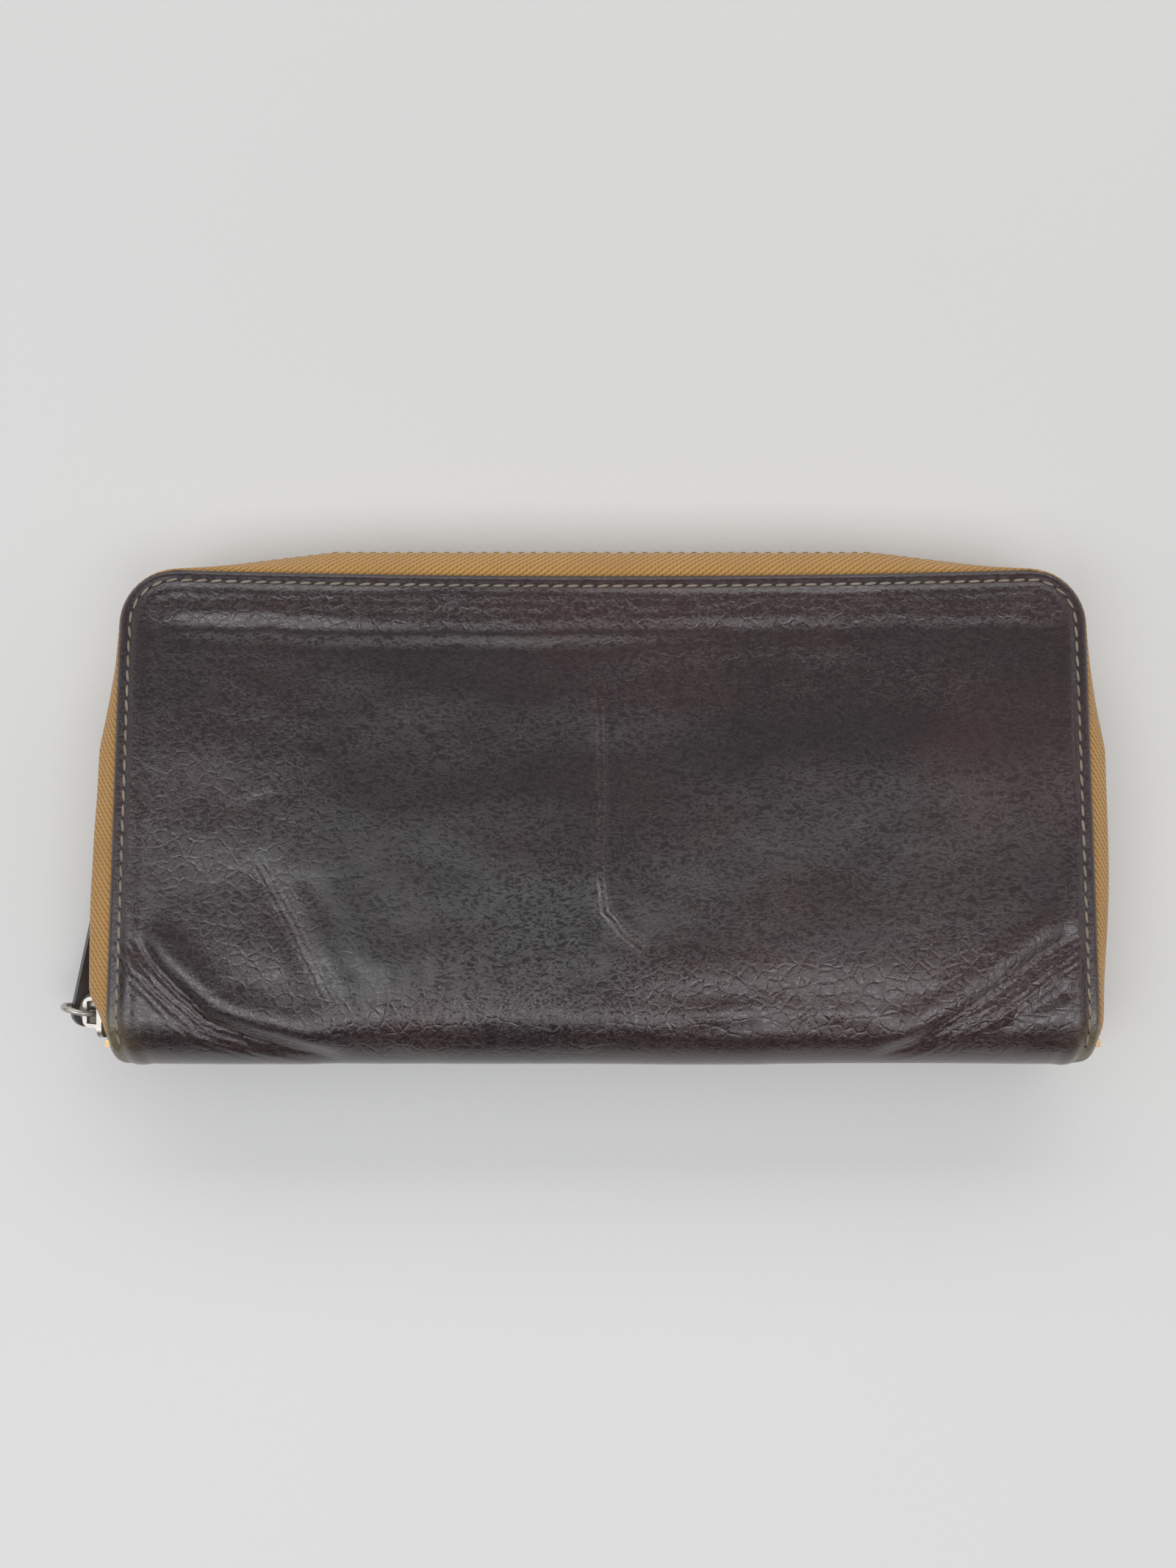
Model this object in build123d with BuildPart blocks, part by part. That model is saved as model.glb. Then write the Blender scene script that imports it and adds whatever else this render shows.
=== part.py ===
"""A long zip-around wallet, lying closed on its back cover.

X runs along the spine, Y from the spine (-Y) to the zip side (+Y), Z up. The origin is the
middle of the back cover's flat underside. The back half is modelled; what is alike in the
front half is its mirror image in the plane between the two rows of zip teeth.
"""
from build123d import *
import math
import os

os.makedirs("parts", exist_ok=True)

# Overall size
cover_width = 195.0
cover_depth = 100.0
thickness = 24.0
corner_radius = 11.0  # the two cover corners on the zip side
spine_corner = 4.0  # the two cover corners at the spine
least_corner = 0.5  # of any layer at the spine
mid = thickness / 2
half_width = cover_width / 2
zip_side = cover_depth / 2
bend_y = -zip_side + mid  # the spine is round about this line
corner_x = half_width - corner_radius
corner_y = zip_side - corner_radius

# Wall layers, from the outside in
cover_leather = 1.4
core_layer = 0.6  # stiffening board, and the zip tape's seam around it
lining = 0.8
lining_inset = 0.6  # lining edge inside the cover edge
board_margin = 9.0  # board edge inside the cover edge
board_spine_margin = 2.0  # and from the spine's bend
board_corner = 3.0
spine_gap = 0.2  # between the two halves in the middle of the spine

# Saddle stitching of the covers
stitch_inset = 2.1
stitch_pitch = 3.0
stitch_length = 2.3
stitch_width = 0.5
stitch_groove_width = 0.7
stitch_groove_depth = 0.35
stitch_end = 1.0  # row's end from the spine's bend, and the last stitch from the row's end

# Main zip: tape, teeth and stops
tape = 0.6
tape_seam = 6.0  # tape hidden between cover and lining
tape_lip = 0.8  # flat tape outside the cover edge before it turns up
tape_knee = mid - 6.5  # height at which the tape stands upright
bulge_spine = 2.2  # tape outside the cover edge, at the spine end
bulge_side = 4.2  # where the left and right sides stand out most
bulge_side_y = corner_y - 25.0
bulge_corner = 1.0  # round the corners, where the tape is pulled in
bulge_zip = 4.9  # along the zip side
bulge_zip_x = corner_x - 30.5  # half of the zip side's even run
tape_end = -zip_side + 3.0
tape_bend = 1.8
tooth_pitch = 2.6
tooth_along = 1.05
tooth_half = 1.3  # half thickness of a tooth across the tape
tooth_tip_half = 0.85
tooth_tip = 0.7  # reach past the middle plane, into the other row
tooth_shoulder = 0.1  # full thickness ends this far from the middle plane
tooth_leg = 3.1  # reach over the tape
tape_edge = 1.1  # tape edge to middle plane
tape_slack = 0.05
stop_along = 1.5
stop_y = tape_end + 1.4
stop_gap = 0.2  # from the middle plane

# Main slider, at its closed end by the spine
slider_y = tape_end + 7.5
slider_length = 10.0
slider_half_height = 4.3
slider_plate = 1.0
slider_corner = 2.0
tooth_room = 0.3  # between the teeth and the slider's plates
flange = 0.9
flange_length = 5.2
flange_inset = 0.8  # from the slider's tail
flange_slot = 0.5  # half of the slot that the tape runs in
post_length = 3.0
post_half = 0.8
post_inset = 0.5  # from the slider's nose
bridge_span = 7.2
bridge_strap = 0.85
bridge_rise = 3.45  # room for the ring under the bridge
bridge_half = 0.8
bridge_slope = 0.7  # lean of the strap's outer and inner ends
bridge_inner_slope = 0.5
bridge_round = 1.6

# Pull: ring, eyelet and leather tab
ring_wire = 1.2
ring_radius = 3.7
ring_clearance = 1.1  # from the slider's plate, pulled out under the bridge
ring_back = 0.5  # nearer the spine than the slider's middle
ring_turn = 14.0  # outer end turned towards the zip side
ring_drop = 1.45  # ring centre below the middle plane
tab_width = 9.6
tab_far_width = 9.0
tab_length = 24.5  # eyelet centre to the far end
tab_end = 3.9  # eyelet centre to the near end
tab_end_round = 3.2
tab_far_round = 3.0
tab_rim_out = 0.8  # play between the tab's rim and the ring, outwards
tab_rim_down = 0.9  # and downwards
tab_forward = 0.3  # eyelet nearer the zip side than the ring
tab_leather = 0.95  # each of two layers
tab_roll = 38.0
tab_turn = 6.0
tab_pitch = 8.5
eyelet_hole = 1.7
eyelet_wall = 0.3
eyelet_flange = 3.7
eyelet_flange_thickness = 0.3

# Inside: card slots, side gussets and coin pocket
slot_panel = 0.5
slot_count = 4
slot_step = 12.0
slot_half_width = half_width - 7.5
slot_bottom = bend_y + 2.0
slot_top = zip_side - 6.0
slot_corner = 1.5
gusset_fold = 18.0
gusset_sewn_edge = 0.5  # height of the sheet at its sewn edge
gusset_fold_depth = 4.0
gusset_half_width = half_width - 9.5
gusset_bottom = bend_y + 4.0
gusset_top = zip_side - 16.0
coin_half_width = half_width - 8.5
coin_bottom = bend_y + 4.0
coin_top = zip_side - 14.0
coin_panel = 0.7
coin_half_thickness = 2.8

# Coin pocket's zip
coin_tape = 0.5
coin_tape_seam = 4.0
coin_zip_y = coin_top + 5.0
coin_tooth_pitch = 2.2
coin_tooth_along = 0.9
coin_tooth_half = 0.95
coin_tooth_tip = 0.5
coin_tooth_leg = 0.35
coin_tape_edge = 0.9
coin_row_margin = 2.5
coin_stop_inset = 0.8
coin_stop_length = 1.0
coin_stop_half = 0.85
coin_zip_half = half_width - 15.5
coin_slider_length = 8.0
coin_slider_half = 1.5
coin_slider_plate = 0.8
coin_slider_room = 0.25
coin_slider_x = -coin_zip_half + 6.0
coin_post_length = 2.0
coin_arch_half = 2.8
coin_arch_rise = 1.4
coin_arch_strap = 0.7
coin_arch_slope = 0.6
coin_arch_inner_slope = 0.3
coin_arch_round = 1.0
coin_arch_thickness = 1.2
coin_pull_length = 8.0
coin_pull_width = 3.2
coin_pull_thickness = 0.9
coin_pull_gap = 0.25  # from the coin slider's plate
coin_pull_end = 1.4  # from the slider's middle to the near end
coin_pull_corner = 1.2
coin_pull_slot = 3.6
coin_pull_slot_width = 1.8
coin_pull_slot_x = 1.2

# Worked out from the sizes above
inner_face = cover_leather + core_layer + lining
card_face = inner_face + slot_count * slot_panel
coin_face = mid - coin_half_thickness
bill_gap = coin_face - card_face
mid_plane = Plane.XY.offset(mid)
middle_of_width = Plane.YZ


def finish(piece, name):
    """Label a finished piece and write it."""
    piece.part.label = name
    export_step(piece.part, f"parts/{name}.step")


def copy_to_front(source, name):
    """The front half's mirror image of a back piece."""
    with BuildPart() as front_piece:
        mirror(source.part, about=mid_plane)
    finish(front_piece, name)
    return front_piece


def cover_outline(inset):
    """Sketch of the cover's outline seen from above, drawn in by an inset."""
    with BuildSketch(Plane.XY) as outline:
        Rectangle(cover_width - 2 * inset, cover_depth - 2 * inset)
        zip_corners = outline.vertices().group_by(Axis.Y)[-1]
        fillet(zip_corners, corner_radius - inset)
        spine_corners = outline.vertices().group_by(Axis.Y)[0]
        fillet(spine_corners, max(spine_corner - inset, least_corner))
    return outline.sketch


def wrapped_layer(outer, inner):
    """Solid of the back half's layer between two depths, straight across the whole width."""
    outer_round = mid - outer
    inner_round = mid - inner
    with BuildSketch(Plane.YZ.offset(-half_width)) as section:
        with BuildLine():
            Line((zip_side, outer), (bend_y, outer))
            CenterArc((bend_y, mid), outer_round, 180, 90)
            Line((bend_y - outer_round, mid), (bend_y - inner_round, mid))
            CenterArc((bend_y, mid), inner_round, 180, 90)
            Line((bend_y, inner), (zip_side, inner))
            Line((zip_side, inner), (zip_side, outer))
        make_face()
    extrude(section.sketch, amount=cover_width)
    split(bisect_by=Plane.XY.offset(mid - spine_gap / 2), keep=Keep.BOTTOM)


def three_side_line(inset, bottom):
    """Line round the left, zip and right sides, an inset inside the cover's edge."""
    side = half_width - inset
    top = zip_side - inset
    bend = corner_radius - inset
    with BuildLine() as line:
        Line((-side, bottom), (-side, corner_y))
        CenterArc((-corner_x, corner_y), bend, 180, -90)
        Line((-corner_x, top), (corner_x, top))
        CenterArc((corner_x, corner_y), bend, 90, -90)
        Line((side, corner_y), (side, bottom))
    return line


def places_along(wire, pitch, start, end, height):
    """Upright places every pitch along a wire, X along it and Y to its outer side."""
    places = []
    distance = start
    while distance <= wire.length - end:
        share = distance / wire.length
        point = wire @ share
        spot = Plane(origin=(point.X, point.Y, height), x_dir=wire % share, z_dir=(0, 0, 1))
        places.append(spot.location)
        distance += pitch
    return places


# ---------------------------------------------------------------- covers and linings
stitch_wire = three_side_line(stitch_inset, bend_y + stitch_end).wire()

with BuildPart() as back_cover:
    wrapped_layer(0, cover_leather)
    extrude(cover_outline(0), amount=thickness, mode=Mode.INTERSECT)
    with BuildSketch(Plane.XY):
        trace(stitch_wire, line_width=stitch_groove_width)
    extrude(amount=stitch_groove_depth, mode=Mode.SUBTRACT)
finish(back_cover, "back_cover")
front_cover = copy_to_front(back_cover, "front_cover")

with BuildPart() as back_topstitch:
    with Locations(*places_along(stitch_wire, stitch_pitch, stitch_pitch / 2, stitch_end, 0)):
        Box(stitch_length, stitch_width, stitch_groove_depth,
            align=(Align.CENTER, Align.CENTER, Align.MIN))
finish(back_topstitch, "back_topstitch")
front_topstitch = copy_to_front(back_topstitch, "front_topstitch")

with BuildPart() as back_board:
    board_bottom = bend_y + board_spine_margin
    board_top = zip_side - board_margin
    with BuildSketch(Plane((0, (board_bottom + board_top) / 2, cover_leather))):
        RectangleRounded(cover_width - 2 * board_margin, board_top - board_bottom, board_corner)
    extrude(amount=core_layer)
finish(back_board, "back_board")
front_board = copy_to_front(back_board, "front_board")

with BuildPart() as back_lining:
    wrapped_layer(cover_leather + core_layer, inner_face)
    extrude(cover_outline(lining_inset), amount=thickness, mode=Mode.INTERSECT)
finish(back_lining, "back_lining")
front_lining = copy_to_front(back_lining, "front_lining")


# ---------------------------------------------------------------- main zip
def band_sides(points, width):
    """Left and right corner points of a band of even width along a bent line."""
    runs = [(Vector(b) - Vector(a)).normalized() for a, b in zip(points, points[1:])]
    normals = [Vector(-run.Y, run.X) for run in runs]
    left = []
    right = []
    for number, point in enumerate(points):
        before = normals[max(number - 1, 0)]
        after = normals[min(number, len(normals) - 1)]
        corner = (before + after) * (width / 2 / (1 + before.dot(after)))
        left.append(Vector(point) + corner)
        right.append(Vector(point) - corner)
    return left, right


def tape_section(section_plane, bulge):
    """Section across the tape: outwards from the cover's edge, and up."""
    seam_height = cover_leather + core_layer / 2
    middle = [(-tape_seam, seam_height), (tape_lip, seam_height), (bulge, tape_knee),
              (bulge, mid - tape_edge)]
    left, right = band_sides(middle, tape)
    with BuildSketch(section_plane) as section:
        Polygon(*left, *reversed(right), align=None)
        for bend in (1, 2):
            inner = section.vertices().sort_by_distance(left[bend])[0]
            fillet(inner, tape_bend - tape / 2)
            outer = section.vertices().sort_by_distance(right[bend])[0]
            fillet(outer, tape_bend + tape / 2)
    return section.sketch


def side_plane(y):
    """Section plane across the left side, X outwards and Y up."""
    return Plane(origin=(-half_width, y, 0), x_dir=(-1, 0, 0), z_dir=(0, 1, 0))


def zip_side_plane(x):
    """Section plane across the zip side, X outwards and Y up."""
    return Plane(origin=(x, zip_side, 0), x_dir=(0, 1, 0), z_dir=(1, 0, 0))


with BuildPart() as back_zip_tape:
    spine_section = tape_section(side_plane(tape_end), bulge_spine)
    side_section = tape_section(side_plane(bulge_side_y), bulge_side)
    corner_section = tape_section(side_plane(corner_y), bulge_corner)
    loft([spine_section, side_section, corner_section], ruled=True)
    revolve(corner_section, axis=Axis((-corner_x, corner_y, 0), (0, 0, -1)), revolution_arc=90)
    zip_section = tape_section(zip_side_plane(-bulge_zip_x), bulge_zip)
    loft([tape_section(zip_side_plane(-corner_x), bulge_corner), zip_section], ruled=True)
    extrude(zip_section, amount=bulge_zip_x)
    mirror(about=middle_of_width)
    inside_cover = mid - cover_leather
    with BuildSketch(Plane.YZ):
        with BuildLine():
            Line((bend_y, cover_leather), (cover_depth, cover_leather))
            Line((cover_depth, cover_leather), (cover_depth, mid))
            Line((cover_depth, mid), (bend_y - inside_cover, mid))
            CenterArc((bend_y, mid), inside_cover, 180, 90)
        make_face()
    extrude(amount=cover_width, both=True, mode=Mode.INTERSECT)
finish(back_zip_tape, "back_zip_tape")
front_zip_tape = copy_to_front(back_zip_tape, "front_zip_tape")

with BuildLine() as zip_line:
    spine_x = half_width + bulge_spine
    side_x = half_width + bulge_side
    pulled_x = half_width + bulge_corner
    pulled_y = zip_side + bulge_corner
    zip_y = zip_side + bulge_zip
    path_round = corner_radius + bulge_corner
    Polyline((-spine_x, tape_end), (-side_x, bulge_side_y), (-pulled_x, corner_y))
    CenterArc((-corner_x, corner_y), path_round, 180, -90)
    Polyline((-corner_x, pulled_y), (-bulge_zip_x, zip_y), (bulge_zip_x, zip_y),
             (corner_x, pulled_y))
    CenterArc((corner_x, corner_y), path_round, 90, -90)
    Polyline((pulled_x, corner_y), (side_x, bulge_side_y), (spine_x, tape_end))
zip_wire = zip_line.wire()


def clamp_profile(tip):
    """Half section of a tooth or stop: legs over the tape, body past the tape's edge."""
    leg = mid - tooth_leg
    slot = tape / 2 + tape_slack
    with BuildSketch(Plane.YZ) as profile:
        Polygon((-tooth_half, leg), (-tooth_half, mid - tooth_shoulder), (-tooth_tip_half, mid + tip),
                (tooth_tip_half, mid + tip), (tooth_half, mid - tooth_shoulder), (tooth_half, leg),
                (slot, leg), (slot, mid - tape_edge + tape_slack),
                (-slot, mid - tape_edge + tape_slack), (-slot, leg), align=None)
    return profile.sketch


with BuildPart() as tooth:
    extrude(clamp_profile(tooth_tip), amount=tooth_along / 2, both=True)

with BuildPart() as stop:
    extrude(clamp_profile(-stop_gap), amount=stop_along / 2, both=True)

post_end = slider_y - slider_length / 2 + post_inset + post_length
first_tooth = post_end + tooth_along - tape_end
last_tooth = stop_y + stop_along - tape_end
back_places = places_along(zip_wire, tooth_pitch, first_tooth, last_tooth, 0)
with BuildPart() as back_zip_teeth:
    with Locations(*back_places):
        add(tooth.part)
finish(back_zip_teeth, "back_zip_teeth")

# The front row starts behind the parked slider, so that the front cover can swing open.
opened_length = slider_y + slider_length / 2 + tooth_along - tape_end
skipped = math.ceil((opened_length - first_tooth) / tooth_pitch - 0.5)
front_start = first_tooth + (skipped + 0.5) * tooth_pitch
front_places = places_along(zip_wire, tooth_pitch, front_start, last_tooth, 0)
with BuildPart() as front_row:
    with Locations(*front_places):
        add(tooth.part)
front_zip_teeth = copy_to_front(front_row, "front_zip_teeth")

stop_distance = stop_y - tape_end
with BuildPart() as back_top_stop:
    with Locations(places_along(zip_wire, zip_wire.length, stop_distance, 0, 0)[0]):
        add(stop.part)
finish(back_top_stop, "back_top_stop")
front_top_stop = copy_to_front(back_top_stop, "front_top_stop")

with BuildPart() as zip_end_stop:
    end_share = 1 - stop_distance / zip_wire.length
    end_point = zip_wire @ end_share
    end_plane = Plane((end_point.X, end_point.Y, 0), x_dir=zip_wire % end_share, z_dir=(0, 0, 1))
    end_section = Plane(end_plane.origin, x_dir=end_plane.y_dir, z_dir=end_plane.x_dir)
    slot_half = tape / 2 + 2 * tape_slack
    with BuildSketch(end_section):
        with Locations((0, mid)):
            Rectangle(2 * tooth_half, 2 * tooth_leg)
        for side in (-1, 1):
            with Locations((0, mid + side * (tape_edge - 2 * tape_slack + tooth_leg / 2))):
                Rectangle(2 * slot_half, tooth_leg, mode=Mode.SUBTRACT)
    extrude(amount=stop_along / 2, both=True)
finish(zip_end_stop, "zip_end_stop")

# ---------------------------------------------------------------- main slider
side_lean = math.atan2(bulge_side - bulge_spine, bulge_side_y - tape_end)
slider_share = (slider_y - tape_end) / math.cos(side_lean) / zip_wire.length
slider_point = zip_wire @ slider_share
along = zip_wire % slider_share
outward = Vector(0, 0, 1).cross(along)
slider_origin = Vector(slider_point.X, slider_point.Y, mid)
slider_face = Plane(slider_origin, x_dir=along, z_dir=outward)
slider_plan = Plane(slider_origin, x_dir=along, z_dir=(0, 0, 1))
plate_inner = tooth_half + tooth_room
plate_outer = plate_inner + slider_plate

with BuildPart() as slider_body:
    for level in (plate_inner, -plate_outer):
        with BuildSketch(slider_face.offset(level)):
            RectangleRounded(slider_length, 2 * slider_half_height, slider_corner)
        extrude(amount=slider_plate)
    flange_centre = slider_length / 2 - flange_inset - flange_length / 2
    for level in (flange_slot, -plate_inner):
        with BuildSketch(slider_face.offset(level)):
            for side in (-1, 1):
                with Locations((flange_centre, side * (slider_half_height - flange / 2))):
                    Rectangle(flange_length, flange)
        extrude(amount=plate_inner - flange_slot)
    with BuildSketch(slider_face.offset(-plate_inner)):
        with Locations((-slider_length / 2 + post_inset + post_length / 2, 0)):
            Rectangle(post_length, 2 * post_half)
    extrude(amount=2 * plate_inner)
finish(slider_body, "slider_body")

with BuildPart() as slider_bridge:
    foot = plate_outer
    crown = plate_outer + bridge_rise
    half_span = bridge_span / 2
    with BuildSketch(slider_plan.offset(-bridge_half)) as arch:
        Polygon((-half_span, foot), (-half_span + bridge_slope, crown + bridge_strap),
                (half_span - bridge_slope, crown + bridge_strap), (half_span, foot), align=None)
        fillet(arch.vertices().group_by(Axis.Y)[-1], bridge_round)
        inner_span = half_span - bridge_strap
        Polygon((-inner_span, foot), (-inner_span + bridge_inner_slope, crown),
                (inner_span - bridge_inner_slope, crown), (inner_span, foot),
                align=None, mode=Mode.SUBTRACT)
    extrude(amount=2 * bridge_half)
finish(slider_bridge, "slider_bridge")

# ---------------------------------------------------------------- pull ring, eyelet and tab
# The ring stands upright: its inner side is held under the bridge, its outer side hangs lower.
turn = math.radians(ring_turn)
ring_out = outward * math.cos(turn) + along * math.sin(turn)
ring_side = Vector(0, 0, 1).cross(ring_out)
ring_held = slider_origin + outward * (plate_outer + ring_clearance + ring_wire / 2) - along * ring_back
ring_centre = ring_held + ring_out * ring_radius - Vector(0, 0, ring_drop)

with BuildPart() as pull_ring:
    with BuildSketch(Plane(ring_centre, x_dir=ring_out, z_dir=(0, 0, 1))):
        with Locations((ring_radius, 0)):
            Circle(ring_wire / 2)
    revolve(axis=Axis(ring_centre, ring_side))
finish(pull_ring, "pull_ring")

# The tab lies beside the wallet: it slopes down to the table and leans on its inner edge.
roll = math.radians(tab_roll)
pitch = math.radians(tab_pitch)
heading = math.radians(tab_turn)
tab_along = Vector(math.sin(heading) * math.cos(pitch), math.cos(heading) * math.cos(pitch),
                   -math.sin(pitch))
level_across = Vector(math.cos(heading), -math.sin(heading), 0)
level_up = level_across.cross(tab_along)
tab_across = level_across * math.cos(roll) - level_up * math.sin(roll)
rim_width = tab_width / 2 - eyelet_hole
hole_from_ring = (rim_width / 2 + eyelet_hole) * math.cos(roll)
hole_out = ring_radius + tab_rim_out - hole_from_ring
hole_drop = ring_drop + tab_rim_down + (rim_width / 2 + eyelet_hole) * math.sin(roll)
eyelet_centre = ring_held + ring_out * hole_out + along * tab_forward - Vector(0, 0, hole_drop)
tab_plane = Plane(eyelet_centre, x_dir=tab_across, z_dir=tab_across.cross(tab_along))


def tab_layer(level, amount):
    """Solid of one leather layer of the tab, between two heights over the tab's middle."""
    with BuildSketch(tab_plane.offset(level)) as shape:
        Polygon((-tab_width / 2, -tab_end), (-tab_far_width / 2, tab_length),
                (tab_far_width / 2, tab_length), (tab_width / 2, -tab_end), align=None)
        fillet(shape.vertices().group_by(Axis.Y)[0], tab_end_round)
        fillet(shape.vertices().group_by(Axis.Y)[-1], tab_far_round)
        Circle(eyelet_hole + eyelet_wall, mode=Mode.SUBTRACT)
    extrude(shape.sketch, amount=amount)


with BuildPart() as pull_tab_outer:
    tab_layer(0, tab_leather)
finish(pull_tab_outer, "pull_tab_outer")

with BuildPart() as pull_tab_inner:
    tab_layer(0, -tab_leather)
finish(pull_tab_inner, "pull_tab_inner")

with BuildPart() as pull_eyelet:
    half_stack = tab_leather + eyelet_flange_thickness
    with BuildSketch(tab_plane.offset(-half_stack)):
        Circle(eyelet_hole + eyelet_wall)
    extrude(amount=2 * half_stack)
    for level in (tab_leather, -half_stack):
        with BuildSketch(tab_plane.offset(level)):
            Circle(eyelet_flange)
        extrude(amount=eyelet_flange_thickness)
    with BuildSketch(tab_plane.offset(-half_stack)):
        Circle(eyelet_hole)
    extrude(amount=2 * half_stack, mode=Mode.SUBTRACT)
finish(pull_eyelet, "pull_eyelet")

# ---------------------------------------------------------------- card slots
for number in range(slot_count):
    with BuildPart() as back_card_slot:
        slot_depth = slot_top - number * slot_step - slot_bottom
        slot_plane = Plane((0, slot_bottom + slot_depth / 2, inner_face + number * slot_panel))
        with BuildSketch(slot_plane):
            RectangleRounded(2 * slot_half_width, slot_depth, slot_corner)
        extrude(amount=slot_panel)
    finish(back_card_slot, f"back_card_slot_{number + 1}")
    copy_to_front(back_card_slot, f"front_card_slot_{number + 1}")

# ---------------------------------------------------------------- side gussets
with BuildPart() as back_gusset_left:
    fold_x = -gusset_half_width + gusset_fold
    middle_height = card_face + bill_gap / 2
    with BuildSketch(Plane.XZ.offset(-gusset_top)):
        Polygon((-gusset_half_width, card_face), (fold_x, middle_height),
                (-gusset_half_width, coin_face),
                (-gusset_half_width, coin_face - gusset_sewn_edge),
                (fold_x - gusset_fold_depth, middle_height),
                (-gusset_half_width, card_face + gusset_sewn_edge), align=None)
    extrude(amount=gusset_top - gusset_bottom)
finish(back_gusset_left, "back_gusset_left")

with BuildPart() as back_gusset_right:
    mirror(back_gusset_left.part, about=middle_of_width)
finish(back_gusset_right, "back_gusset_right")
front_gusset_left = copy_to_front(back_gusset_left, "front_gusset_left")
front_gusset_right = copy_to_front(back_gusset_right, "front_gusset_right")

# ---------------------------------------------------------------- coin pocket
coin_depth = coin_top - coin_bottom
coin_middle_y = (coin_top + coin_bottom) / 2
coin_thickness = 2 * coin_half_thickness

with BuildPart() as coin_panel_back:
    with BuildSketch(Plane((0, coin_middle_y, coin_face))):
        Rectangle(2 * coin_half_width, coin_depth)
    extrude(amount=coin_panel)
finish(coin_panel_back, "coin_panel_back")
coin_panel_front = copy_to_front(coin_panel_back, "coin_panel_front")

with BuildPart() as coin_pocket_edge:
    with BuildSketch(Plane((0, coin_middle_y, coin_face + coin_panel))):
        Rectangle(2 * coin_half_width, coin_depth)
        with Locations((0, coin_panel)):
            Rectangle(2 * (coin_half_width - coin_panel), coin_depth, mode=Mode.SUBTRACT)
    extrude(amount=coin_thickness - 2 * coin_panel)
finish(coin_pocket_edge, "coin_pocket_edge")

with BuildPart() as coin_zip_tape_back:
    seam_low = coin_face + coin_panel
    with BuildSketch(Plane.YZ.offset(-coin_zip_half)):
        Polygon((coin_top - coin_tape_seam, seam_low), (coin_zip_y + coin_tape / 2, seam_low),
                (coin_zip_y + coin_tape / 2, mid - coin_tape_edge),
                (coin_zip_y - coin_tape / 2, mid - coin_tape_edge),
                (coin_zip_y - coin_tape / 2, seam_low + coin_tape),
                (coin_top - coin_tape_seam, seam_low + coin_tape), align=None)
    extrude(amount=2 * coin_zip_half)
finish(coin_zip_tape_back, "coin_zip_tape_back")
coin_zip_tape_front = copy_to_front(coin_zip_tape_back, "coin_zip_tape_front")


def coin_row(start, count, leg, tip, length):
    """Row of coin zip teeth or stops along X, from a first one, over the back tape's edge."""
    slot = coin_tape / 2 + tape_slack
    edge = mid - coin_tape_edge + tape_slack
    for number in range(count):
        x = start + number * coin_tooth_pitch
        with BuildSketch(Plane.YZ.offset(x - length / 2)) as profile:
            with Locations((coin_zip_y, 0)):
                Polygon((-coin_tooth_half, edge - leg), (-coin_tooth_half, mid + tip),
                        (coin_tooth_half, mid + tip), (coin_tooth_half, edge - leg),
                        (slot, edge - leg), (slot, edge), (-slot, edge), (-slot, edge - leg),
                        align=None)
        extrude(profile.sketch, amount=length)


coin_post_end = coin_slider_x - coin_slider_length / 2 + post_inset + coin_post_length
coin_tooth_start = coin_post_end + coin_tooth_along
coin_tooth_count = int((coin_zip_half - coin_row_margin - coin_tooth_start) / coin_tooth_pitch)
with BuildPart() as coin_zip_teeth_back:
    coin_row(coin_tooth_start, coin_tooth_count, coin_tooth_leg, coin_tooth_tip, coin_tooth_along)
finish(coin_zip_teeth_back, "coin_zip_teeth_back")

with BuildPart() as coin_front_row:
    coin_row(coin_tooth_start + coin_tooth_pitch / 2, coin_tooth_count - 1, coin_tooth_leg,
             coin_tooth_tip, coin_tooth_along)
coin_zip_teeth_front = copy_to_front(coin_front_row, "coin_zip_teeth_front")

with BuildPart() as coin_zip_stops:
    stop_thickness = 2 * coin_tooth_half
    for side in (-1, 1):
        stop_x = side * (coin_zip_half - coin_stop_inset)
        with BuildSketch(Plane((stop_x, coin_zip_y, mid - coin_stop_half))):
            Rectangle(coin_stop_length, stop_thickness)
        extrude(amount=2 * coin_stop_half)
finish(coin_zip_stops, "coin_zip_stops")

coin_plate_inner = coin_tooth_half + coin_slider_room
coin_plate_outer = coin_plate_inner + coin_slider_plate
coin_crown = coin_plate_outer + coin_arch_rise
with BuildPart() as coin_slider:
    coin_slider_plan = Plane((coin_slider_x, coin_zip_y, mid))
    for level in (coin_plate_inner, -coin_plate_outer):
        with BuildSketch(coin_slider_plan.offset(-coin_slider_half)):
            with Locations((0, level + coin_slider_plate / 2)):
                Rectangle(coin_slider_length, coin_slider_plate)
        extrude(amount=2 * coin_slider_half)
    with BuildSketch(coin_slider_plan.offset(-post_half)):
        with Locations((-coin_slider_length / 2 + post_inset + coin_post_length / 2, 0)):
            Rectangle(coin_post_length, 2 * coin_plate_inner)
    extrude(amount=2 * post_half)
    arch_top = coin_arch_half - coin_arch_slope
    arch_inner = coin_arch_half - coin_arch_strap
    arch_inner_top = arch_inner - coin_arch_inner_slope
    strap_top = coin_crown + coin_arch_strap
    with BuildSketch(coin_slider_plan.offset(-coin_arch_thickness / 2)) as coin_arch:
        Polygon((-coin_arch_half, coin_plate_outer), (-arch_top, strap_top),
                (arch_top, strap_top), (coin_arch_half, coin_plate_outer), align=None)
        fillet(coin_arch.vertices().group_by(Axis.Y)[-1], coin_arch_round)
        Polygon((-arch_inner, coin_plate_outer), (-arch_inner_top, coin_crown),
                (arch_inner_top, coin_crown), (arch_inner, coin_plate_outer),
                align=None, mode=Mode.SUBTRACT)
    extrude(amount=coin_arch_thickness)
finish(coin_slider, "coin_slider")

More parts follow.
